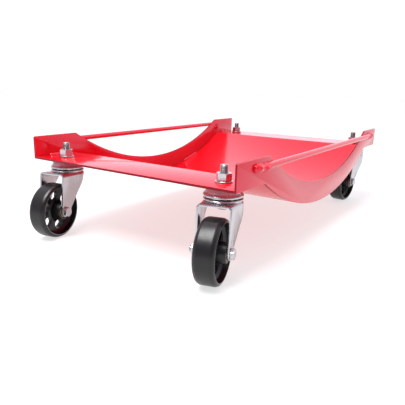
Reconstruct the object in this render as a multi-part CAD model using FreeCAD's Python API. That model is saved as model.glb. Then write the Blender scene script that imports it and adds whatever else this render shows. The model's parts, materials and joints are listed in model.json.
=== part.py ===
"""Wheel dolly: a dished steel deck for one tyre on four swivel casters.

Frame: X is the rolling direction and the long side of the deck, Y runs along
the axle of the tyre it carries, +Z is up. The origin is on the floor under
the centre of the deck. Millimetres.
"""
import os
import FreeCAD
import Part
from math import acos, atan2, cos, degrees, hypot, radians, sin, sqrt

V = FreeCAD.Vector

# ---- deck -------------------------------------------------------------------
DECK_L = 544.0            # overall length, X
DECK_W = 331.0            # over both side plates, Y
DECK_Z = 106.0            # underside of the flat strips above the floor
SHEET = 3.0               # bed plate and side plates
FOLD_X = 206.0            # where each flat strip folds down into the dish
DISH_DEPTH = 57.5         # underside of the strips to underside of the dish
BEND_R = 4.0              # outside of the fold
LIP_H = 31.5              # side plates above the underside of the strips
LIP_CORNER_X = 197.5      # inboard end of each high end block
LIP_LOW = 32.0            # side plate depth at the middle of the dish
LIP_CORNER_R = 2.5        # rounded outer top corners
LIP_STEP_R = 3.0          # rounded corners where the blocks meet the long arc

ROD_D = 8.0               # tie rods along the outside of the side plates
ROD_END_X = 212.0
ROD_Z = DECK_Z + 21.5

WELD_R = 3.0              # stitch welds in the corner of bed and side plate
STITCH_L = 44.0
STITCH_X = 105.0          # one each side of the middle of the dish
STRIP_STITCH_L = 24.0
STRIP_STITCH_X = 236.0

# ---- casters ----------------------------------------------------------------
STEM_X = 242.5            # stems from the centre of the deck
STEM_Y = 132.0
STUD_D = 10.0             # M10 threaded stem
STUD_TIP_D = 9.6          # its free end above the nut
STEM_RISE = 20.4          # stem tip above the top of the bed plate
HOLE_D = 11.0             # clearance hole in the bed plate
NUT_AF = 16.5
NUT_H = 9.0
WASHER_D = 20.5
WASHER_T = 2.2

KINGPIN_D = 12.0
CAP_D = 46.6              # upper race, a shallow cone
CAP_TOP_D = 30.0
CAP_LIP_Z = 94.0
BALL_D = 6.0              # upper ball race
BALL_CIRCLE_R = 18.0
BALL_Z = 93.2
BALL_COUNT = 16
LOW_BALL_D = 5.0          # lower ball race
LOW_BALL_CIRCLE_R = 10.6
LOW_BALL_Z = 86.5
LOW_BALL_COUNT = 12
CUP_Z = 81.1              # underside of the lower race
RUN = 0.05                # radial running clearance

RING_TOP_Z = 92.3         # raceway pressed up out of the fork crown
CROWN_Z = 90.5            # top of the fork crown
FORK_T = 2.6
FORK_W = 40.4             # over both legs
FORK_BEND_R = 5.0
FLARE_X = 20.0            # legs are parallel from here to the axle
TRAIL = 32.0              # stem to axle
LEG_END_R = 7.5

WHEEL_R = 38.0
TREAD_W = 25.4
HUB_W = 34.4
HUB_D = 25.0
RIM_IN_R = 32.2
WEB_T = 5.0
WEB_HOLE_D = 13.0
WEB_HOLE_R = 21.5
WEB_HOLE_ANGLE = 38.0     # first hole from the trail direction
BUSH_D = 16.0
SLEEVE_D = 12.0
AXLE_D = 8.0
AXLE_AF = 12.0
AXLE_HEAD_H = 4.6
AXLE_NUT_H = 4.0
AXLE_TIP = 3.0            # thread past the nut

# name: stem position signs and the direction the wheel trails at rest
CASTERS = {
    "front_right": (-1, -1, 195.0),
    "front_left": (-1, 1, 191.5),
    "rear_left": (1, 1, -11.5),
    "rear_right": (1, -1, 175.0),
}

# ---- worked out -------------------------------------------------------------
DISH_LOW = DECK_Z - DISH_DEPTH
DISH_R = (FOLD_X ** 2 + DISH_DEPTH ** 2) / (2 * DISH_DEPTH)
DISH_CZ = DISH_LOW + DISH_R
LIP_TOP = DECK_Z + LIP_H
INNER_Y = DECK_W / 2 - SHEET
FORK_IN = FORK_W - 2 * FORK_T
DECK_TOP = DECK_Z + SHEET
STEM_TOP = DECK_TOP + STEM_RISE


# ---- helpers ----------------------------------------------------------------
def cyl(r, h, base, axis=V(0, 0, 1)):
    return Part.makeCylinder(r, h, base, axis)


def box(x0, x1, y0, y1, z0, z1):
    return Part.makeBox(x1 - x0, y1 - y0, z1 - z0, V(x0, y0, z0))


def line(a, b):
    return Part.LineSegment(a, b).toShape()


def arc(a, b, c):
    return Part.Arc(a, b, c).toShape()


def prism(edges, along):
    """Solid between a closed outline and its copy moved by the vector."""
    return Part.Face(Part.Wire(edges)).extrude(along)


def spin(points, arcs=()):
    """Solid of revolution about Z; arcs maps a point's index to a via point."""
    pts = [V(r, 0, z) for r, z in points]
    edges = []
    for i, a in enumerate(pts):
        b = pts[(i + 1) % len(pts)]
        via = dict(arcs).get(i)
        edges.append(arc(a, V(via[0], 0, via[1]), b) if via else line(a, b))
    return Part.Face(Part.Wire(edges)).revolve(V(0, 0, 0), V(0, 0, 1), 360)


def hexagon(af, h, base, axis=V(0, 0, 1)):
    """Hexagonal prism with its corners turned off at both ends."""
    r = af / sqrt(3)
    pts = [V(r * cos(radians(60 * k)), r * sin(radians(60 * k)), 0) for k in range(7)]
    body = prism([line(a, b) for a, b in zip(pts, pts[1:])], V(0, 0, h))
    edge = r - af / 2
    barrel = spin([(0, 0), (af / 2, 0), (r, edge * 0.6), (r, h - edge * 0.6),
                   (af / 2, h), (0, h)])
    body = body.common(barrel)
    body.Placement = FreeCAD.Placement(base, FreeCAD.Rotation(V(0, 0, 1), axis))
    return body


def torus(circle_r, z, r):
    return Part.makeTorus(circle_r, r, V(0, 0, z), V(0, 0, 1))


def balls(d, circle_r, z, count):
    turn = 360.0 / count
    return Part.makeCompound([
        Part.makeSphere(d / 2, V(circle_r * cos(radians(turn * k)),
                                 circle_r * sin(radians(turn * k)), z))
        for k in range(count)])


def round_edges(shape, r, test):
    return shape.makeFillet(r, [e for e in shape.Edges if test(e)])


def straight_across(x, z):
    """Test for the edges along Y at this height and this far either side."""
    return lambda e: (len(e.Vertexes) == 2
                      and abs(e.Vertexes[0].X - e.Vertexes[1].X) < 0.01
                      and all(abs(v.Z - z) < 0.01 and abs(abs(v.X) - x) < 0.01
                              for v in e.Vertexes))


# ---- deck -------------------------------------------------------------------
def dish_point(x, r):
    return V(x, 0, DISH_CZ - sqrt(r * r - x * x))


def bed_plate():
    """Flat strip, fold, dish, fold, flat strip, from one sheet."""
    half = DECK_L / 2
    top_r = DISH_R - SHEET
    fold_top = sqrt(top_r ** 2 - (DISH_CZ - DECK_TOP) ** 2)
    a, b = V(-half, 0, DECK_Z), V(half, 0, DECK_Z)
    c, d = V(half, 0, DECK_TOP), V(-half, 0, DECK_TOP)
    fl, fr = V(-FOLD_X, 0, DECK_Z), V(FOLD_X, 0, DECK_Z)
    tl, tr = V(-fold_top, 0, DECK_TOP), V(fold_top, 0, DECK_TOP)
    outline = [line(a, fl), arc(fl, dish_point(0, DISH_R), fr), line(fr, b), line(b, c),
               line(c, tr), arc(tr, dish_point(0, top_r), tl), line(tl, d), line(d, a)]
    plate = prism(outline, V(0, 2 * INNER_Y, 0))
    plate.translate(V(0, -INNER_Y, 0))
    plate = round_edges(plate, BEND_R, straight_across(fold_top, DECK_TOP))
    plate = round_edges(plate, BEND_R - SHEET, straight_across(FOLD_X, DECK_Z))
    for sx, sy, _ in CASTERS.values():
        plate = plate.cut(cyl(HOLE_D / 2, SHEET + 2, V(sx * STEM_X, sy * STEM_Y, DECK_Z - 1)))
    return plate


def side_plate(side):
    """Upright plate welded to one edge of the bed, high at both ends."""
    half, low = DECK_L / 2, DISH_LOW + LIP_LOW
    a, b = V(-half, 0, DECK_Z), V(half, 0, DECK_Z)
    fl, fr = V(-FOLD_X, 0, DECK_Z), V(FOLD_X, 0, DECK_Z)
    c, d = V(half, 0, LIP_TOP), V(-half, 0, LIP_TOP)
    sl, sr = V(-LIP_CORNER_X, 0, LIP_TOP), V(LIP_CORNER_X, 0, LIP_TOP)
    outline = [line(a, fl), arc(fl, V(0, 0, DISH_LOW), fr), line(fr, b), line(b, c),
               line(c, sr), arc(sr, V(0, 0, low), sl), line(sl, d), line(d, a)]
    plate = prism(outline, V(0, SHEET, 0))
    plate.translate(V(0, INNER_Y if side > 0 else -INNER_Y - SHEET, 0))
    plate = round_edges(plate, LIP_CORNER_R, straight_across(half, LIP_TOP))
    return round_edges(plate, LIP_STEP_R, straight_across(LIP_CORNER_X, LIP_TOP))


def tie_rod(side):
    y = side * (DECK_W / 2 + ROD_D / 2)
    rod = cyl(ROD_D / 2, 2 * ROD_END_X, V(-ROD_END_X, y, ROD_Z), V(1, 0, 0))
    return rod.makeFillet(0.6, [e for e in rod.Edges if e.Closed])


def dish_bead(side, x):
    """Quarter-round stitch bead in the corner of dish and side plate."""
    top_r, y = DISH_R - SHEET, side * INNER_Y
    low = DISH_CZ - top_r
    a, b, c = V(0, y, low), V(0, y - side * WELD_R, low), V(0, y, low + WELD_R)
    mid = V(0, y - side * WELD_R * cos(radians(45)), low + WELD_R * sin(radians(45)))
    face = Part.Face(Part.Wire([line(a, b), arc(b, mid, c), line(c, a)]))
    centre, sweep = V(0, 0, DISH_CZ), degrees(STITCH_L / top_r)
    face.rotate(centre, V(0, -1, 0), degrees(x / top_r) - sweep / 2)
    return face.revolve(centre, V(0, -1, 0), sweep)


def strip_bead(side, x):
    """Quarter-round stitch bead in the corner of flat strip and side plate."""
    y, start = side * INNER_Y, x - STRIP_STITCH_L / 2
    a, b = V(start, y, DECK_TOP), V(start, y - side * WELD_R, DECK_TOP)
    c = V(start, y, DECK_TOP + WELD_R)
    mid = V(start, y - side * WELD_R * cos(radians(45)), DECK_TOP + WELD_R * sin(radians(45)))
    return prism([line(a, b), arc(b, mid, c), line(c, a)], V(STRIP_STITCH_L, 0, 0))


def rod_weld(side, end):
    """Two-lobed lump that buries one end of a tie rod and joins it to the plate."""
    r = ROD_D / 2
    lump = spin([(r, -7.5), (4.6, 11.5), (2.0, 25.6), (0, 26.0), (0, 0), (r, 0)],
                {0: (6.1, 1.5), 1: (6.0, 18.0)})
    lump = lump.cut(box(-20, 20, -20, -r, -20, 40))
    lump.rotate(V(0, 0, 0), V(0, 1, 0), 90)
    if side < 0:
        lump.rotate(V(0, 0, 0), V(1, 0, 0), 180)
    lump.translate(V(ROD_END_X, side * (DECK_W / 2 + r), ROD_Z))
    return lump if end > 0 else lump.mirror(V(0, 0, 0), V(1, 0, 0))


def weld_beads():
    """Stitch welds inside the tray corners and the welds at the rod ends."""
    return Part.makeCompound([
        make(side, sx * x) for side in (-1, 1) for sx in (-1, 1)
        for make, x in ((dish_bead, STITCH_X), (strip_bead, STRIP_STITCH_X), (rod_weld, 1))])


# ---- one caster, trail along +X, stem on the Z axis --------------------------
def stem():
    r, tip, k = STUD_D / 2, STUD_TIP_D / 2, KINGPIN_D / 2
    z, step = CUP_Z, DECK_TOP + WASHER_T + NUT_H + 0.3
    return spin([(0, z - 2.2), (7.2, z - 2.2), (8.2, z - 1.2), (8.2, z), (k, z), (k, DECK_Z),
                 (r, DECK_Z), (r, step), (tip, step), (tip, STEM_TOP - 1), (tip - 1, STEM_TOP),
                 (0, STEM_TOP)])


def stem_washer():
    ring = cyl(WASHER_D / 2, WASHER_T, V(0, 0, DECK_TOP))
    ring = ring.makeFillet(0.4, [e for e in ring.Edges if e.Closed])
    return ring.cut(cyl(STUD_D / 2 + 0.25, 4, V(0, 0, DECK_TOP - 1)))


def stem_nut():
    z = DECK_TOP + WASHER_T
    return hexagon(NUT_AF, NUT_H, V(0, 0, z)).cut(cyl(STUD_D / 2, NUT_H + 2, V(0, 0, z - 1)))


def upper_race():
    """Cone-shaped cap clamped under the deck, with a ball groove below."""
    k = KINGPIN_D / 2
    cap = spin([(k, DECK_Z), (CAP_TOP_D / 2, DECK_Z), (CAP_D / 2, CAP_LIP_Z + 1.6),
                (CAP_D / 2, CAP_LIP_Z), (BALL_CIRCLE_R - 3.4, CAP_LIP_Z),
                (BALL_CIRCLE_R - 5.4, CAP_LIP_Z + 2.5), (k, CAP_LIP_Z + 2.5)],
               {1: ((CAP_TOP_D + CAP_D) / 4 + 1.2, (DECK_Z + CAP_LIP_Z + 1.6) / 2 + 1.2)})
    return cap.cut(torus(BALL_CIRCLE_R, BALL_Z, BALL_D / 2 + RUN))


def lower_race():
    """Dished cup held by the riveted end of the stem."""
    k, z = KINGPIN_D / 2, CUP_Z
    cup = spin([(k, z), (11.5, z), (15.0, z + 2.4), (15.0, z + 4.8), (8.4, z + 4.8),
                (8.4, z + 6), (k, z + 6)])
    return cup.cut(torus(LOW_BALL_CIRCLE_R, LOW_BALL_Z, LOW_BALL_D / 2 + RUN))


def fork_side(y, thick):
    """Side view of the fork: near-upright trailing edge, S-shaped stem edge."""
    trail_edge = V(TRAIL + LEG_END_R, y, WHEEL_R)
    low = V(TRAIL, y, WHEEL_R - LEG_END_R)
    heel = V(TRAIL - LEG_END_R * cos(radians(30)), y, WHEEL_R - LEG_END_R * sin(radians(30)))
    top_trail, top_stem = V(33.5, y, CROWN_Z), V(-13.0, y, CROWN_Z)
    curve = Part.BSplineCurve()
    curve.interpolate([heel, V(14.5, y, 50.0), V(3.0, y, 67.5), V(-6.5, y, 79.0), top_stem])
    return prism([line(top_trail, trail_edge), arc(trail_edge, low, heel), curve.toShape(),
                  line(top_stem, top_trail)], V(0, thick, 0))


def fork_plan(half, r, top, bend):
    """Block with the fork's top view: parallel legs that flare into a round crown."""
    reach = 60.0
    turn = atan2(half, FLARE_X) + acos(r / hypot(FLARE_X, half))
    x, y = r * cos(turn), r * sin(turn)
    block = prism([line(V(reach, -half, 0), V(FLARE_X, -half, 0)),
                   line(V(FLARE_X, -half, 0), V(x, -y, 0)), arc(V(x, -y, 0), V(-r, 0, 0), V(x, y, 0)),
                   line(V(x, y, 0), V(FLARE_X, half, 0)), line(V(FLARE_X, half, 0), V(reach, half, 0)),
                   line(V(reach, half, 0), V(reach, -half, 0))], V(0, 0, top))
    return round_edges(block, bend, lambda e: all(abs(v.Z - top) < 0.01 for v in e.Vertexes)
                       and not all(abs(v.X - reach) < 0.01 for v in e.Vertexes))


def fork():
    """Pressed U-shaped fork with a raceway ring on its crown."""
    w, t, crown_r = FORK_W / 2, FORK_T, CAP_D / 2
    shell = fork_plan(w, crown_r, CROWN_Z, FORK_BEND_R)
    shell = shell.cut(fork_plan(w - t, crown_r - t, CROWN_Z - t, FORK_BEND_R - t))
    shell = shell.common(fork_side(-crown_r - 1, 2 * crown_r + 2))
    ring_r = crown_r - 0.4
    crown = spin([(0, CROWN_Z - t), (ring_r - 2.2, CROWN_Z - t), (ring_r, CROWN_Z - t + 2.2),
                  (ring_r, RING_TOP_Z - 0.8), (ring_r - 0.8, RING_TOP_Z), (0, RING_TOP_Z)])
    body = shell.fuse(crown).removeSplitter()
    z = CROWN_Z
    body = body.cut(spin([(0, z - 9), (8.9, z - 9), (8.9, z), (11.6, z + 1.2), (11.6, z + 9),
                          (0, z + 9)]))
    body = body.cut(torus(BALL_CIRCLE_R, BALL_Z, BALL_D / 2 + RUN))
    body = body.cut(torus(LOW_BALL_CIRCLE_R, LOW_BALL_Z, LOW_BALL_D / 2 + RUN))
    return body.cut(cyl(AXLE_D / 2 + 0.1, FORK_W + 2, V(TRAIL, -w - 1, WHEEL_R), V(0, 1, 0)))


def wheel():
    """Solid wheel: crowned tread, dished sides, web with six holes, hub."""
    h, hub, web = TREAD_W / 2, HUB_W / 2, WEB_T / 2
    r_hub, r_bush = HUB_D / 2, BUSH_D / 2
    body = spin([(r_bush, -hub), (r_hub - 1.5, -hub), (r_hub + 0.8, -web - 2),
                 (r_hub + 3.0, -web), (RIM_IN_R - 3.0, -web), (RIM_IN_R, -web - 3.0),
                 (RIM_IN_R + 1.6, -h), (WHEEL_R - 4.0, -h), (WHEEL_R, -h + 4.0),
                 (WHEEL_R, h - 4.0), (WHEEL_R - 4.0, h), (RIM_IN_R + 1.6, h),
                 (RIM_IN_R, web + 3.0), (RIM_IN_R - 3.0, web), (r_hub + 3.0, web),
                 (r_hub + 0.8, web + 2), (r_hub - 1.5, hub), (r_bush, hub)],
                {2: (r_hub + 1.4, -web - 0.6), 4: (RIM_IN_R - 0.9, -web - 0.9),
                 7: (WHEEL_R - 1.2, -h + 1.2), 9: (WHEEL_R - 1.2, h - 1.2),
                 12: (RIM_IN_R - 0.9, web + 0.9), 14: (r_hub + 1.4, web + 0.6)})
    for k in range(6):
        turn = radians(WEB_HOLE_ANGLE + 60 * k)
        body = body.cut(cyl(WEB_HOLE_D / 2, TREAD_W,
                            V(WEB_HOLE_R * cos(turn), WEB_HOLE_R * sin(turn), -h)))
    return on_axle(body)


def on_axle(shape):
    """Turn a piece made about Z onto the axle, +Z to +Y."""
    shape.Placement = FreeCAD.Placement(V(TRAIL, 0, WHEEL_R),
                                        FreeCAD.Rotation(V(1, 0, 0), -90))
    return shape


def wheel_bushing():
    tube = cyl(BUSH_D / 2, HUB_W, V(0, 0, -HUB_W / 2))
    return on_axle(tube.cut(cyl(SLEEVE_D / 2 + RUN, HUB_W + 2, V(0, 0, -HUB_W / 2 - 1))))


def axle_sleeve():
    tube = cyl(SLEEVE_D / 2, FORK_IN, V(0, 0, -FORK_IN / 2))
    return on_axle(tube.cut(cyl(AXLE_D / 2 + 0.1, FORK_IN + 2, V(0, 0, -FORK_IN / 2 - 1))))


def axle_bolt():
    """Hexagon bolt; the head is on the +Y side of the fork."""
    end = -FORK_W / 2 - AXLE_NUT_H - AXLE_TIP
    shank = cyl(AXLE_D / 2, FORK_W / 2 - end, V(0, 0, end))
    shank = shank.makeChamfer(0.8, [e for e in shank.Edges
                                    if e.Closed and abs(e.Vertexes[0].Z - end) < 0.01])
    return on_axle(shank.fuse(hexagon(AXLE_AF, AXLE_HEAD_H, V(0, 0, FORK_W / 2))))


def axle_nut():
    z = -FORK_W / 2 - AXLE_NUT_H
    nut = hexagon(AXLE_AF, AXLE_NUT_H, V(0, 0, z))
    return on_axle(nut.cut(cyl(AXLE_D / 2, AXLE_NUT_H + 2, V(0, 0, z - 1))))


def caster():
    return {
        "stem": stem(), "stem_washer": stem_washer(), "stem_nut": stem_nut(),
        "upper_race": upper_race(),
        "upper_balls": balls(BALL_D, BALL_CIRCLE_R, BALL_Z, BALL_COUNT),
        "fork": fork(),
        "lower_balls": balls(LOW_BALL_D, LOW_BALL_CIRCLE_R, LOW_BALL_Z, LOW_BALL_COUNT),
        "lower_race": lower_race(), "wheel": wheel(), "wheel_bushing": wheel_bushing(),
        "axle_sleeve": axle_sleeve(), "axle_bolt": axle_bolt(), "axle_nut": axle_nut(),
    }


def main():
    os.makedirs("parts", exist_ok=True)
    plates = {"side_plate_left": side_plate(1), "side_plate_right": side_plate(-1)}
    rods = {"tie_rod_left": tie_rod(1), "tie_rod_right": tie_rod(-1)}
    pieces = {"bed_plate": bed_plate(), **plates, **rods, "weld_beads": weld_beads()}
    kit = caster()
    for corner, (sx, sy, trail) in CASTERS.items():
        place = FreeCAD.Placement(V(sx * STEM_X, sy * STEM_Y, 0),
                                  FreeCAD.Rotation(V(0, 0, 1), trail))
        for name, shape in kit.items():
            copy = shape.copy()
            copy.Placement = place.multiply(copy.Placement)
            pieces[corner + "_" + name] = copy
    for name, shape in pieces.items():
        shape.exportStep("parts/" + name + ".step")


main()
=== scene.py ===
"""Looks of the wheel dolly: painted deck, zinc swivel casters, cast wheels.

Row frame in metres: X along the deck, Y along the tyre's axle, Z up from the floor.
Lengths below are in millimetres and are turned into metres when a mesh is made.
"""
import json
from math import acos, asin, cos, hypot, pi, radians, sin, sqrt, tan

import bmesh
import bpy
from mathutils import Matrix, Vector, noise


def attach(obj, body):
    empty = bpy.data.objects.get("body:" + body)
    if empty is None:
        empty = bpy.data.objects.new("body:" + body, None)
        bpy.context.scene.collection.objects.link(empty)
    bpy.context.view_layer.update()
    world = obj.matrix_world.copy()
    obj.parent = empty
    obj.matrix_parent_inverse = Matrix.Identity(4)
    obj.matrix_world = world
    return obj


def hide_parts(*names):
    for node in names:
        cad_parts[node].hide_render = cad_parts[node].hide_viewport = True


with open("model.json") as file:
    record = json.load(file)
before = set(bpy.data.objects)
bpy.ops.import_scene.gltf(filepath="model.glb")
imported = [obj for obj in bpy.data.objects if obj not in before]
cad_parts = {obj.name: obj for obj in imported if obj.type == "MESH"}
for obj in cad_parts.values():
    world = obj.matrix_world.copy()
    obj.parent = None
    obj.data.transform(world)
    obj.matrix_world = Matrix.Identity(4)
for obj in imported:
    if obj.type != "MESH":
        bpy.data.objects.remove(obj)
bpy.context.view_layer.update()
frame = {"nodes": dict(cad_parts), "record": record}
MM = 0.001

# ---- sizes, the same as the CAD model's ---------------------------------------
# The CAD stud narrows to 9.6 mm above its nut; here the thread keeps its full 10 mm crests.
DECK_L, DECK_W, DECK_Z, SHEET = 544.0, 331.0, 106.0, 3.0
FOLD_X, DISH_DEPTH, BEND_R = 206.0, 57.5, 4.0
LIP_H, LIP_CORNER_X, LIP_LOW = 31.5, 197.5, 32.0
LIP_CORNER_R, LIP_STEP_R = 2.5, 3.0
ROD_D, ROD_END_X = 8.0, 212.0
STITCH_L, STITCH_X, STRIP_STITCH_L, STRIP_STITCH_X, WELD_R = 44.0, 105.0, 24.0, 236.0, 3.0
STEM_X, STEM_Y, STUD_D, STEM_RISE = 242.5, 132.0, 10.0, 20.4
NUT_AF, NUT_H, WASHER_D, WASHER_T = 16.5, 9.0, 20.5, 2.2
KINGPIN_D, CAP_D, CAP_TOP_D, CAP_LIP_Z, CUP_Z = 12.0, 46.6, 30.0, 94.0, 81.1
FORK_T, FORK_W, TRAIL = 2.6, 40.4, 32.0
WHEEL_R, TREAD_W, HUB_W, HUB_D = 38.0, 25.4, 34.4, 25.0
RIM_IN_R, WEB_T, WEB_HOLE_D, WEB_HOLE_R, WEB_HOLE_ANGLE = 32.2, 5.0, 13.0, 21.5, 38.0
BUSH_D, SLEEVE_D, AXLE_D, AXLE_AF = 16.0, 12.0, 8.0, 12.0
AXLE_HEAD_H, AXLE_NUT_H, AXLE_TIP = 4.6, 4.0, 3.0
CASTERS = {
    "front_right": (-1, -1, 195.0),
    "front_left": (-1, 1, 191.5),
    "rear_left": (1, 1, -11.5),
    "rear_right": (1, -1, 175.0),
}
DISH_LOW = DECK_Z - DISH_DEPTH
DISH_R = (FOLD_X ** 2 + DISH_DEPTH ** 2) / (2 * DISH_DEPTH)
DISH_CZ = DISH_LOW + DISH_R
LIP_TOP, DECK_TOP = DECK_Z + LIP_H, DECK_Z + SHEET
ROD_Z = DECK_Z + 21.5
INNER_Y = DECK_W / 2 - SHEET
FORK_IN = FORK_W - 2 * FORK_T
STEM_TOP = DECK_TOP + STEM_RISE


# ---- materials ----------------------------------------------------------------
def surface(name, base, other, rough, bump, scale, metallic=0.0, coat=0.0,
            coat_rough=0.1, patch=6.0, patch_rough=0.06, specular=0.5, tint=(1, 1, 1)):
    """Principled material: two close colours in patches, mottled gloss, fine bump."""
    mat = bpy.data.materials.new(name)
    mat.use_nodes = True
    tree = mat.node_tree
    shader = tree.nodes["Principled BSDF"]
    new, link = tree.nodes.new, tree.links.new
    shader.inputs["Metallic"].default_value = metallic
    shader.inputs["Coat Weight"].default_value = coat
    shader.inputs["Specular IOR Level"].default_value = specular
    shader.inputs["Specular Tint"].default_value = (*tint, 1)
    shader.inputs["Coat Roughness"].default_value = coat_rough
    coords = new("ShaderNodeTexCoord")

    def clouds(size, detail, roughness=0.55):
        node = new("ShaderNodeTexNoise")
        node.inputs["Scale"].default_value = size
        node.inputs["Detail"].default_value = detail
        node.inputs["Roughness"].default_value = roughness
        link(coords.outputs["Object"], node.inputs["Vector"])
        return node.outputs["Fac"]

    large = clouds(patch, 4.0)
    mix = new("ShaderNodeMix")
    mix.data_type = "RGBA"
    mix.inputs[6].default_value = (*base, 1)
    mix.inputs[7].default_value = (*other, 1)
    link(large, mix.inputs[0])
    link(mix.outputs[2], shader.inputs["Base Color"])
    gloss = new("ShaderNodeMapRange")
    gloss.inputs["To Min"].default_value = rough - patch_rough
    gloss.inputs["To Max"].default_value = rough + patch_rough
    gloss.inputs["From Min"].default_value = 0.3
    gloss.inputs["From Max"].default_value = 0.7
    link(clouds(patch * 9, 6.0, 0.65), gloss.inputs["Value"])
    link(gloss.outputs["Result"], shader.inputs["Roughness"])
    height = None
    for k, (size, depth) in enumerate(zip(scale, bump)):
        node = new("ShaderNodeBump")
        node.inputs["Strength"].default_value = 1.0
        node.inputs["Distance"].default_value = depth * MM
        link(clouds(size, 2.0 + k), node.inputs["Height"])
        if height:
            link(height, node.inputs["Normal"])
        height = node.outputs["Normal"]
    link(height, shader.inputs["Normal"])
    return mat


RED = surface("red_powder_coat", (0.72, 0.004, 0.011), (0.64, 0.003, 0.009), 0.16, (0.02,),
              (300,), coat=0.22, coat_rough=0.05, patch_rough=0.04, specular=0.75,
              tint=(1.0, 0.70, 1.0))
# Darker red for the sheets' cut edges: painted shade along the edges.
EDGE_SHADE = surface("red_edge_painted_shade", (0.22, 0.004, 0.010), (0.15, 0.003, 0.008), 0.42,
               (0.02,), (400,), patch=60, specular=0.2)
ZINC = surface("zinc_plate", (0.56, 0.56, 0.58), (0.46, 0.455, 0.475), 0.25,
               (0.004,), (220,), metallic=1.0, patch=30, patch_rough=0.04)
# Darker zinc for the stud: painted shade of its thread grooves.
THREAD_SHADE_ZINC = surface("zinc_thread_painted_shade", (0.36, 0.36, 0.37), (0.28, 0.28, 0.28), 0.36,
                    (0.01,), (700,), metallic=1.0, patch=90)
# Ball steel made dark: painted shade of the gap between the races.
BALL_SHADE = surface("ball_steel_painted_shade", (0.20, 0.19, 0.18), (0.12, 0.11, 0.10), 0.20,
               (0.004,), (300,), metallic=1.0, patch=200)
BLACK = surface("black_cast_wheel", (0.003, 0.003, 0.0035), (0.007, 0.006, 0.007), 0.33,
                (0.010, 0.004), (260, 900), patch=30, patch_rough=0.04, specular=0.42)
# Bright metal for the flat ring at the rim's edge: a painted highlight line.
RIM_HIGHLIGHT = surface("rim_edge_painted_highlight", (0.42, 0.41, 0.42), (0.16, 0.155, 0.16), 0.35,
               (0.02,), (500,), metallic=1.0, patch=160)
BRONZE = surface("oiled_bronze", (0.50, 0.33, 0.14), (0.38, 0.24, 0.10), 0.38,
                 (0.02,), (900,), metallic=1.0, patch=90)
SLOTS = {"red_paint": RED, "zinc": ZINC, "ball_steel": BALL_SHADE, "black_wheel": BLACK,
         "bronze": BRONZE}
SLOT_OF = {entry["node"]: entry["material_slot"] for entry in frame["record"]["subparts"]}
for node, obj in frame["nodes"].items():
    for k in range(len(obj.material_slots)):
        obj.material_slots[k].material = SLOTS[SLOT_OF[node]]


# ---- mesh helpers ---------------------------------------------------------------
def rounded(points, radii, steps=6):
    """Closed outline with each corner turned into an arc of its own radius."""
    if not isinstance(radii, (list, tuple)):
        radii = [radii] * len(points)
    out = []
    for i, (p, r) in enumerate(zip(points, radii)):
        p = Vector(p)
        a, b = Vector(points[i - 1]) - p, Vector(points[(i + 1) % len(points)]) - p
        if r <= 0 or a.length < 1e-9 or b.length < 1e-9:
            out.append(tuple(p))
            continue
        ua, ub = a.normalized(), b.normalized()
        half = acos(max(-1.0, min(1.0, ua.dot(ub)))) / 2
        if half > radians(89):
            out.append(tuple(p))
            continue
        back = min(r / tan(half), 0.49 * a.length, 0.49 * b.length)
        r = back * tan(half)
        centre = p + (ua + ub).normalized() * (r / sin(half))
        va, vb = p + ua * back - centre, p + ub * back - centre
        turn = va.angle_signed(vb)
        out += [tuple(centre + Matrix.Rotation(-turn * k / steps, 2) @ va)
                for k in range(steps + 1)]
    return out


def finished(bm, name, sharp=32.0, bevel=0.0, weld=True):
    """Mesh from bmesh in millimetres, with small bevels on its sharp edges."""
    if weld:
        bmesh.ops.remove_doubles(bm, verts=bm.verts, dist=1e-5)
    bmesh.ops.recalc_face_normals(bm, faces=bm.faces)
    bmesh.ops.scale(bm, vec=(MM, MM, MM), verts=bm.verts)
    mesh = bpy.data.meshes.new(name)
    bm.to_mesh(mesh)
    bm.free()
    if bevel:
        holder = bpy.data.objects.new(name, mesh)
        bpy.context.collection.objects.link(holder)
        edge = holder.modifiers.new("bevel", "BEVEL")
        edge.width, edge.segments = bevel * MM, 2
        edge.limit_method, edge.angle_limit = "ANGLE", radians(sharp)
        mesh = baked(holder)
    for face in mesh.polygons:
        face.use_smooth = True
    mesh.set_sharp_from_angle(angle=radians(max(sharp, 40.0) if bevel else sharp))
    return mesh


def baked(holder):
    """The holder's mesh with its modifiers applied; the holder goes away."""
    graph = bpy.context.evaluated_depsgraph_get()
    mesh = bpy.data.meshes.new_from_object(holder.evaluated_get(graph))
    bpy.data.objects.remove(holder)
    return mesh


def lathe(name, profile, segments=72, sharp=32.0):
    """Closed profile of (radius, height) turned about Z."""
    bm = bmesh.new()
    rings = []
    for k in range(segments):
        t = 2 * pi * k / segments
        rings.append([bm.verts.new((r * cos(t), r * sin(t), z)) for r, z in profile])
    n = len(profile)
    for k in range(segments):
        a, b = rings[k], rings[(k + 1) % segments]
        for i in range(n):
            j = (i + 1) % n
            if profile[i][0] < 1e-6 and profile[j][0] < 1e-6:
                continue
            bm.faces.new((a[i], a[j], b[j], b[i]))
    bmesh.ops.remove_doubles(bm, verts=bm.verts, dist=1e-5)
    bmesh.ops.dissolve_degenerate(bm, edges=bm.edges, dist=1e-6)
    return finished(bm, name, sharp)


def slab(name, outline, depth, bevel):
    """Outline in XZ thickened along Y from 0 to depth."""
    bm = bmesh.new()
    near = [bm.verts.new((x, 0, z)) for x, z in outline]
    far = [bm.verts.new((x, depth, z)) for x, z in outline]
    bm.faces.new(near)
    bm.faces.new(far)
    for i in range(len(outline)):
        j = (i + 1) % len(outline)
        bm.faces.new((near[i], near[j], far[j], far[i]))
    return finished(bm, name, bevel=bevel)


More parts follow.
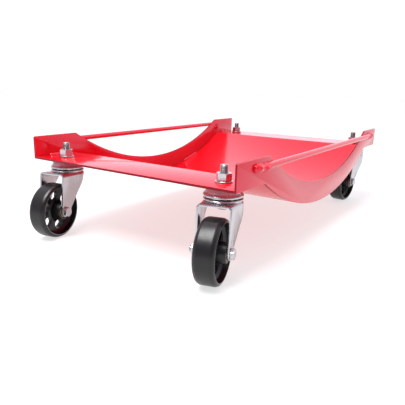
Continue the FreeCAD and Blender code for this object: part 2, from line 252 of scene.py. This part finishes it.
def place(name, mesh, material, body, nodes, matrix=None):
    """One visible piece that rides on a body and stands for CAD nodes."""
    obj = bpy.data.objects.new(name, mesh)
    bpy.context.collection.objects.link(obj)
    if not mesh.materials:
        mesh.materials.append(material)
    if matrix:
        obj.matrix_world = matrix
    bpy.context.view_layer.update()
    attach(obj, body)
    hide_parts(*nodes)
    return obj


# ---- deck -----------------------------------------------------------------------
def dish_z(x, r):
    return DISH_CZ - sqrt(r * r - x * x)


def bed_mesh():
    """Bed plate: strips, folds and dish as one bent sheet."""
    top_r, half = DISH_R - SHEET, DECK_L / 2
    fold_top = sqrt(top_r ** 2 - (DISH_CZ - DECK_TOP) ** 2)
    n = 64
    low = [(-FOLD_X + 2 * FOLD_X * k / n, 0) for k in range(n + 1)]
    low = [(x, dish_z(x, DISH_R)) for x, _ in low]
    high = [(fold_top - 2 * fold_top * k / n, 0) for k in range(n + 1)]
    high = [(x, dish_z(x, top_r)) for x, _ in high]
    outline = [(-half, DECK_Z)] + low + [(half, DECK_Z), (half, DECK_TOP)] + high + [
        (-half, DECK_TOP)]
    radii = [0] * len(outline)
    radii[1] = radii[1 + n] = 1.0
    radii[4 + n] = radii[4 + 2 * n] = BEND_R
    return slab("bed_sheet", rounded(outline, radii, 5), 2 * INNER_Y, 0.5)


def plate_mesh():
    """Side plate: tall blocks at the ends, a curved strip between them."""
    half, mid = DECK_L / 2, DISH_LOW + LIP_LOW
    low = [(-FOLD_X + 2 * FOLD_X * k / 72, 0) for k in range(73)]
    low = [(x, dish_z(x, DISH_R)) for x, _ in low]
    rise = LIP_TOP - mid
    r = (LIP_CORNER_X ** 2 + rise ** 2) / (2 * rise)
    top = [LIP_CORNER_X - 2 * LIP_CORNER_X * k / 72 for k in range(73)]
    top = [(x, mid + r - sqrt(r * r - x * x)) for x in top]
    outline = [(-half, DECK_Z)] + low + [(half, DECK_Z), (half, LIP_TOP)] + top + [
        (-half, LIP_TOP)]
    radii = [0] * len(outline)
    radii[0] = radii[74] = 0.8
    radii[75] = radii[-1] = LIP_CORNER_R
    radii[76] = radii[76 + 72] = LIP_STEP_R
    return slab("side_plate", rounded(outline, radii, 6), SHEET, 0.45)


def bead(points, normal_a, normal_b, radius, seed):
    """Fillet weld along points, in the corner between two faces with these normals."""
    bm, rings, n = bmesh.new(), [], 9
    length = sum((b - a).length for a, b in zip(points, points[1:]))
    run = 0.0
    for i, p in enumerate(points):
        if i:
            run += (p - points[i - 1]).length
        end = min(run, length - run)
        grow = min(1.0, sqrt(max(0.0, end) / (radius * 0.9)) + 0.05)
        ripple = 1.0 - 0.16 * abs(sin(pi * run / 2.3 + 0.5 * noise.noise((run * 0.4, seed, 0))))
        wander = 1.0 + 0.16 * noise.noise((run * 0.16, seed, 3.1))
        r = radius * grow * ripple * wander
        ring = []
        for k in range(n):
            t = pi / 2 * k / (n - 1)
            lump = r * (1 + 0.05 * noise.noise((run * 0.7, seed, k * 0.8)))
            ring.append(bm.verts.new(p + normal_a * lump * cos(t) + normal_b * lump * sin(t)))
        ring.append(bm.verts.new(p))
        rings.append(ring)
    for a, b in zip(rings, rings[1:]):
        for k in range(len(a)):
            j = (k + 1) % len(a)
            bm.faces.new((a[k], a[j], b[j], b[k]))
    bm.faces.new(rings[0])
    bm.faces.new(rings[-1])
    return bm


def rod_lump(side, end, seed):
    """Two overlapping lumps of weld over a tie rod's end, sagging a little."""
    bm = bmesh.new()
    y = side * (DECK_W / 2 + 1.2)
    for x, z, rx, rz, ry in ((ROD_END_X + 18.6, -0.2, 7.2, 5.6, 7.2),
                             (ROD_END_X + 13.2, 0.2, 5.6, 5.0, 7.0),
                             (ROD_END_X + 3.0, -1.3, 8.6, 5.3, 8.4),
                             (ROD_END_X - 2.0, -1.0, 6.0, 4.9, 7.4)):
        m = Matrix.Translation((end * x, y, ROD_Z + z)) @ Matrix.Diagonal((rx, ry, rz, 1))
        bmesh.ops.create_icosphere(bm, subdivisions=3, radius=1.0, matrix=m)
    mesh = bpy.data.meshes.new("lump")
    bm.to_mesh(mesh)
    bm.free()
    holder = bpy.data.objects.new("lump", mesh)
    bpy.context.collection.objects.link(holder)
    skin = holder.modifiers.new("skin", "REMESH")
    skin.mode, skin.voxel_size = "VOXEL", 0.55
    ease = holder.modifiers.new("ease", "SMOOTH")
    ease.factor, ease.iterations = 0.5, 5
    mesh = baked(holder)
    bm = bmesh.new()
    bm.from_mesh(mesh)
    bm.normal_update()
    shift = Vector((seed * 7.3, 0, 0))
    for v in bm.verts:
        v.co += v.normal * (0.55 * noise.noise(v.co * 0.28 + shift)
                            + 0.22 * noise.noise(v.co * 0.9 + shift))
        v.co.y = side * max(abs(v.co.y), DECK_W / 2 - 0.6)
    return bm


def join(parts, name, sharp=60.0):
    """Several bmeshes in millimetres as one mesh."""
    whole = bmesh.new()
    for part in parts:
        mesh = bpy.data.meshes.new("part")
        bmesh.ops.recalc_face_normals(part, faces=part.faces)
        part.to_mesh(mesh)
        part.free()
        whole.from_mesh(mesh)
    return finished(whole, name, sharp, weld=False)


def weld_parts():
    """Every weld: a bead up each dish slope, one on each strip, a lump at each rod end."""
    parts, top_r, seed = [], DISH_R - SHEET, 0
    for side in (-1, 1):
        inward = Vector((0, -side, 0))
        for sx in (-1, 1):
            seed += 1
            middle, reach = asin(STITCH_X / top_r), STITCH_L / top_r / 2
            arc = [middle - reach + 2 * reach * k / 90 for k in range(91)]
            pts = [Vector((sx * top_r * sin(t), side * INNER_Y, DISH_CZ - top_r * cos(t)))
                   for t in arc]
            up = Vector((-sx * sin(middle), 0, cos(middle)))
            parts.append(bead(pts, inward, up, WELD_R, seed))
            pts = [Vector((sx * STRIP_STITCH_X + STRIP_STITCH_L * (k / 50 - 0.5),
                           side * INNER_Y, DECK_TOP)) for k in range(51)]
            parts.append(bead(pts, inward, Vector((0, 0, 1)), WELD_R * 0.8, seed + 20))
            parts.append(rod_lump(side, sx, seed))
    return parts


def rod_mesh():
    """Tie rod: round bar with a drawn, very slightly uneven skin."""
    bm, rings, n, m = bmesh.new(), [], 40, 120
    for i in range(m + 1):
        x = -ROD_END_X + 2 * ROD_END_X * i / m
        ring = []
        for k in range(n):
            t = 2 * pi * k / n
            r = ROD_D / 2 - 0.02 + 0.02 * noise.noise((x * 0.05, cos(t), sin(t)))
            ring.append(bm.verts.new((x, r * cos(t), r * sin(t))))
        rings.append(ring)
    for a, b in zip(rings, rings[1:]):
        for k in range(n):
            bm.faces.new((a[k], a[(k + 1) % n], b[(k + 1) % n], b[k]))
    bm.faces.new(rings[0])
    bm.faces.new(rings[-1])
    return finished(bm, "tie_rod")


def at(x, y, z):
    return Matrix.Translation((x * MM, y * MM, z * MM))


def with_edge_shade(mesh, edge_shade_mask):
    """Painted sheet whose cut edges, the faces that the given test picks, get a darker red:
    painted shade along the edges.
    """
    mesh.materials.append(RED)
    mesh.materials.append(EDGE_SHADE)
    for face in mesh.polygons:
        face.material_index = int(edge_shade_mask(face.normal, face.center))
    return mesh


# The cut edges of the bed and the side plates get the painted edge shade.
bed = with_edge_shade(bed_mesh(), lambda n, c: abs(n.x) > 0.8 and abs(c.x) > (DECK_L / 2 - 0.6) * MM)
place("bed_sheet", bed, RED, "deck", ["bed_plate"], at(0, -INNER_Y, 0))
plate = with_edge_shade(plate_mesh(), lambda n, c: abs(n.y) < 0.35)
place("left_plate", plate, RED, "deck", ["side_plate_left"], at(0, INNER_Y, 0))
place("right_plate", plate, RED, "deck", ["side_plate_right"], at(0, -INNER_Y - SHEET, 0))
rod = rod_mesh()
for side, word in ((1, "left"), (-1, "right")):
    place(word + "_rod", rod, RED, "deck", ["tie_rod_" + word],
          at(0, side * (DECK_W / 2 + ROD_D / 2), ROD_Z))
place("welds", join(weld_parts(), "welds"), RED, "deck", ["weld_beads"])


# ---- casters --------------------------------------------------------------------
def threaded(name, r, z0, z1, pitch, depth, n=48, plain=()):
    """Rod with a real helical V thread between z0 and z1, chamfered at z1."""
    bm, rings = bmesh.new(), []
    steps = int((z1 - z0) / pitch * 10)
    for i in range(steps + 1):
        z = z0 + (z1 - z0) * i / steps
        limit = min(r, r - 1.0 + (z1 - z))
        ring = []
        for k in range(n):
            t = 2 * pi * k / n
            phase = (z / pitch - k / n) % 1.0
            groove = depth * min(1.0, max(0.0, 1.25 - 2.5 * abs(phase - 0.5)))
            rr = min(r - groove, limit)
            ring.append(bm.verts.new((rr * cos(t), rr * sin(t), z)))
        rings.append(ring)
    for a, b in zip(rings, rings[1:]):
        for k in range(n):
            bm.faces.new((a[k], a[(k + 1) % n], b[(k + 1) % n], b[k]))
    bm.faces.new(rings[-1])
    if plain:
        below = [[bm.verts.new((rr * cos(2 * pi * k / n), rr * sin(2 * pi * k / n), z))
                  for k in range(n)] for rr, z in plain]
        chain = [rings[0]] + below
        for a, b in zip(chain, chain[1:]):
            for k in range(n):
                bm.faces.new((a[k], b[k], b[(k + 1) % n], a[(k + 1) % n]))
        bm.faces.new(chain[-1])
    else:
        bm.faces.new(rings[0])
    return finished(bm, name, 38.0)


def hex_mesh(name, af, h, bore=0.0, both=True, washer_face=0.0):
    """Hexagon nut or bolt head on Z from 0 to h, chamfered as turned."""
    n, r_ch = 96, af / 2 * 0.965
    tallest = []
    for k in range(n):
        t = 2 * pi * k / n
        r = af / 2 / cos((t + pi / 6) % (pi / 3) - pi / 6)
        tallest.append(min(r, af / sqrt(3) * 0.985))
    drop = [max(0.0, (r - r_ch)) * tan(radians(28)) for r in tallest]
    z0 = washer_face
    rings = []
    if bore:
        rings += [(lambda k: bore, lambda k: 0.8), (lambda k: bore + 0.8, lambda k: z0)]
    else:
        rings += [(lambda k: 0.0, lambda k: 0.0)]
    if washer_face:
        rings += [(lambda k: r_ch - 0.3, lambda k: 0.0), (lambda k: r_ch - 0.3, lambda k: z0)]
    rings += [(lambda k: r_ch, lambda k: z0)]
    rings += [(lambda k: tallest[k], (lambda k: z0 + drop[k]) if both else (lambda k: z0))]
    rings += [(lambda k: tallest[k], lambda k: h - drop[k]), (lambda k: r_ch, lambda k: h)]
    if bore:
        rings += [(lambda k: bore + 0.8, lambda k: h), (lambda k: bore, lambda k: h - 0.8)]
    else:
        rings += [(lambda k: r_ch * 0.55, lambda k: h), (lambda k: 0.0, lambda k: h)]
    bm = bmesh.new()
    verts = [[bm.verts.new((r(k) * cos(2 * pi * k / n), r(k) * sin(2 * pi * k / n), z(k)))
              for k in range(n)] for r, z in rings]
    pairs = list(zip(verts, verts[1:])) + ([(verts[-1], verts[0])] if bore else [])
    for a, b in pairs:
        for k in range(n):
            bm.faces.new((a[k], a[(k + 1) % n], b[(k + 1) % n], b[k]))
    bmesh.ops.remove_doubles(bm, verts=bm.verts, dist=1e-5)
    bmesh.ops.dissolve_degenerate(bm, edges=bm.edges, dist=1e-6)
    return finished(bm, name, 22.0)


def wheel_mesh():
    """Cast wheel: crowned tread, rolled rim edges, dished web with six holes, hub."""
    h, hub, web = TREAD_W / 2, HUB_W / 2, WEB_T / 2
    r_hub, r_bush = HUB_D / 2, BUSH_D / 2
    half = [(r_hub - 1.5, hub), (r_hub + 0.8, web + 2.0), (r_hub + 3.4, web),
            (RIM_IN_R - 3.2, web), (RIM_IN_R, web + 2.8), (RIM_IN_R + 1.2, h - 0.15),
            (WHEEL_R - 4.1, h), (WHEEL_R - 1.3, h - 1.5), (WHEEL_R - 0.05, h - 4.6)]
    soft = [0.8, 2.5, 3.0, 2.5, 2.2, 0.25, 0.35, 2.6, 3.2]
    upper = [(r_bush, hub)] + half
    lower = [(r, -z) for r, z in reversed(half)] + [(r_bush, -hub)]
    radii = [0.4] + soft + soft[::-1] + [0.4]
    mesh = lathe("wheel_blank", rounded(upper + lower, radii, 5), 128)
    holder = bpy.data.objects.new("wheel_blank", mesh)
    bpy.context.collection.objects.link(holder)
    bm = bmesh.new()
    for k in range(6):
        t = radians(WEB_HOLE_ANGLE + 60 * k)
        m = Matrix.Translation((WEB_HOLE_R * cos(t) * MM, WEB_HOLE_R * sin(t) * MM, 0))
        bmesh.ops.create_cone(bm, cap_ends=True, segments=48, radius1=WEB_HOLE_D / 2 * MM,
                              radius2=WEB_HOLE_D / 2 * MM, depth=TREAD_W * MM, matrix=m)
    tool = bpy.data.meshes.new("drill")
    bm.to_mesh(tool)
    bm.free()
    drill = bpy.data.objects.new("drill", tool)
    bpy.context.collection.objects.link(drill)
    cut = holder.modifiers.new("holes", "BOOLEAN")
    cut.operation, cut.object, cut.solver = "DIFFERENCE", drill, "EXACT"
    edge = holder.modifiers.new("edge", "BEVEL")
    edge.width, edge.segments = 0.5 * MM, 3
    edge.limit_method, edge.angle_limit = "ANGLE", radians(50)
    bpy.context.view_layer.update()
    mesh = baked(holder)
    bpy.data.objects.remove(drill)
    mesh.materials.clear()
    mesh.materials.append(BLACK)
    mesh.materials.append(RIM_HIGHLIGHT)
    for face in mesh.polygons:  # the flat ring at the rim's edge gets bright metal: a painted highlight line
        face.use_smooth = True
        r, z = hypot(face.center.x, face.center.y) / MM, abs(face.center.z) / MM
        face.material_index = int(z > h - 0.45 and RIM_IN_R + 0.9 < r < WHEEL_R - 3.8)
    mesh.set_sharp_from_angle(angle=radians(45))
    return mesh


def softened(node, name, width):
    """Copy of a CAD node's mesh with its cut edges rounded over."""
    bm = bmesh.new()
    bm.from_mesh(frame["nodes"][node].data)
    bmesh.ops.remove_doubles(bm, verts=bm.verts, dist=2e-6)
    bmesh.ops.dissolve_limit(bm, angle_limit=radians(0.5), verts=bm.verts, edges=bm.edges)
    bmesh.ops.scale(bm, vec=(1 / MM, 1 / MM, 1 / MM), verts=bm.verts)
    return finished(bm, name, bevel=width)


def cap_mesh():
    """Pressed upper race: cone with a rolled shoulder and a turned-in lip."""
    k, lip = KINGPIN_D / 2, CAP_LIP_Z
    profile = [(k, DECK_Z), (CAP_TOP_D / 2, DECK_Z), (CAP_TOP_D / 2 + 3.4, DECK_Z - 1.7),
               (CAP_D / 2 - 2.2, lip + 4.6), (CAP_D / 2, lip + 2.0), (CAP_D / 2, lip),
               (CAP_D / 2 - 2.2, lip), (14.6, lip + 1.5), (k, lip + 2.5)]
    return lathe("upper_race", rounded(profile, [0, 1.2, 4, 4, 1.6, 0.9, 0.5, 2, 0], 5), 96)


def tube_mesh(name, r_in, r_out, length, edge):
    h = length / 2
    return lathe(name, rounded([(r_in, -h), (r_out, -h), (r_out, h), (r_in, h)], edge, 3), 64)


ON_AXLE = Matrix.Translation((TRAIL * MM, 0, WHEEL_R * MM)) @ Matrix.Rotation(radians(-90), 4, "X")
UP = Matrix.Identity(4)
half_fork = FORK_W / 2
KIT = [  # piece, mesh, material, body, node, own matrix
    ("stud", threaded("stud", STUD_D / 2, DECK_TOP - 1, STEM_TOP, 1.5, 0.85,
                      plain=((STUD_D / 2 - 0.85, DECK_Z), (KINGPIN_D / 2, DECK_Z - 0.1),
                             (KINGPIN_D / 2, CUP_Z), (8.1, CUP_Z), (7.8, CUP_Z - 1.5),
                             (6.4, CUP_Z - 2.15), (2.5, CUP_Z - 2.15))),
     THREAD_SHADE_ZINC, "deck", "stem", UP),
    ("washer", lathe("washer", rounded([(STUD_D / 2 + 0.3, 0), (WASHER_D / 2, 0),
                                        (WASHER_D / 2, WASHER_T), (STUD_D / 2 + 0.3, WASHER_T)],
                                       0.35, 3), 96), ZINC, "deck", "stem_washer",
     at(0, 0, DECK_TOP)),
    ("nut", hex_mesh("nut", NUT_AF, NUT_H, STUD_D / 2), ZINC, "deck", "stem_nut",
     at(0, 0, DECK_TOP + WASHER_T)),
    ("cap", cap_mesh(), ZINC, "deck", "upper_race", UP),
    ("cast_wheel", wheel_mesh(), BLACK, "roller", "wheel", ON_AXLE),
    ("bushing", tube_mesh("bushing", SLEEVE_D / 2 + 0.05, BUSH_D / 2, HUB_W, 0.4), BRONZE,
     "roller", "wheel_bushing", ON_AXLE),
    ("sleeve", tube_mesh("sleeve", AXLE_D / 2 + 0.1, SLEEVE_D / 2, FORK_IN, 0.4), ZINC,
     "swivel", "axle_sleeve", ON_AXLE),
    ("lock_nut", hex_mesh("lock_nut", AXLE_AF, AXLE_NUT_H, AXLE_D / 2), ZINC, "swivel",
     "axle_nut", ON_AXLE @ at(0, 0, -half_fork - AXLE_NUT_H)),
]
bolt = bmesh.new()
shank = threaded("shank", AXLE_D / 2, -half_fork + 0.5,
                 half_fork + AXLE_NUT_H + AXLE_TIP, 1.25, 0.7)
head = hex_mesh("head", AXLE_AF, AXLE_HEAD_H, both=False, washer_face=0.4)
shank.transform(Matrix.Rotation(pi, 4, "X"))
head.transform(at(0, 0, half_fork))
bolt.from_mesh(shank)
bolt.from_mesh(head)
bolt_mesh = bpy.data.meshes.new("axle_bolt")
bolt.to_mesh(bolt_mesh)
bolt.free()
bolt_mesh.set_sharp_from_angle(angle=radians(25))
KIT.append(("bolt", bolt_mesh, ZINC, "swivel", "axle_bolt", ON_AXLE))

for corner, (sx, sy, trail) in CASTERS.items():
    stand = at(sx * STEM_X, sy * STEM_Y, 0) @ Matrix.Rotation(radians(trail), 4, "Z")
    for word, mesh, material, body, node, own in KIT:
        rider = "deck" if body == "deck" else corner + "_" + body
        place(corner + "_" + word, mesh, material, rider, [corner + "_" + node], stand @ own)
    place(corner + "_yoke", softened(corner + "_fork", corner + "_yoke", 0.35), ZINC,
          corner + "_swivel", [corner + "_fork"])

# ---- floor, light and camera ------------------------------------------------------
floor_mesh = bpy.data.meshes.new("floor")
WIDE = 12  # metres from the middle to each edge of the floor
floor_mesh.from_pydata([(-WIDE, -WIDE, 0), (WIDE, -WIDE, 0), (WIDE, WIDE, 0), (-WIDE, WIDE, 0)],
                       [], [(0, 1, 2, 3)])
floor = bpy.data.objects.new("floor", floor_mesh)
bpy.context.collection.objects.link(floor)
floor.location.z = -0.0002
pale = bpy.data.materials.new("pale_floor")
pale.use_nodes = True
glow = pale.node_tree.nodes["Principled BSDF"].inputs
glow["Base Color"].default_value = (0.38, 0.38, 0.38, 1)
glow["Roughness"].default_value = 0.9
glow["Emission Color"].default_value = (0.97, 0.98, 0.97, 1)
glow["Emission Strength"].default_value = 0.66
floor_mesh.materials.append(pale)

world = bpy.data.worlds.new("studio")
world.use_nodes = True
sky = world.node_tree
where = sky.nodes.new("ShaderNodeTexCoord")
along = sky.nodes.new("ShaderNodeVectorMath")
along.operation = "DOT_PRODUCT"
along.inputs[1].default_value = (0.83, 0.556, 0.0)
level = sky.nodes.new("ShaderNodeMapRange")
level.inputs["From Min"].default_value = -1.0
level.inputs["To Min"].default_value = 0.25
level.inputs["To Max"].default_value = 1.42
sky.links.new(where.outputs["Generated"], along.inputs[0])
sky.links.new(along.outputs["Value"], level.inputs["Value"])
sky.links.new(level.outputs["Result"], sky.nodes["Background"].inputs["Strength"])
sky.nodes["Background"].inputs["Color"].default_value = (0.98, 0.90, 1.0, 1)
bpy.context.scene.world = world


def softbox(name, place_at, aim, size, power):
    data = bpy.data.lights.new(name, "AREA")
    data.shape, data.size, data.size_y, data.energy = "RECTANGLE", size[0], size[1], power
    lamp = bpy.data.objects.new(name, data)
    bpy.context.collection.objects.link(lamp)
    lamp.location = place_at
    lamp.rotation_euler = (Vector(aim) - Vector(place_at)).to_track_quat("-Z", "Y").to_euler()


softbox("key", (-0.85, 0.1, 1.75), (-0.15, -0.05, 0.05), (0.9, 1.2), 52)

EYE = (-0.6681, -0.3889, 0.2161)  # metres
SENSOR, LENS = 36.0, 40.27822  # camera millimetres
az, el, roll = radians(-56.2), radians(14.79), radians(1.48)
back = Vector((sin(az) * cos(el), -cos(az) * cos(el), sin(el)))
right = Vector((cos(az), sin(az), 0))
up = back.cross(right)
tilted = right * cos(roll) + up * sin(roll)
upward = up * cos(roll) - right * sin(roll)
camera = bpy.data.objects.new("camera", bpy.data.cameras.new("camera"))
bpy.context.collection.objects.link(camera)
camera.data.sensor_width = SENSOR
camera.data.lens = LENS
camera.data.clip_start = 0.01
camera.matrix_world = Matrix((
    (tilted.x, upward.x, back.x, EYE[0]), (tilted.y, upward.y, back.y, EYE[1]),
    (tilted.z, upward.z, back.z, EYE[2]), (0, 0, 0, 1)))
bpy.context.scene.camera = camera
bpy.context.scene.view_settings.view_transform = "Standard"

bpy.context.view_layer.update()
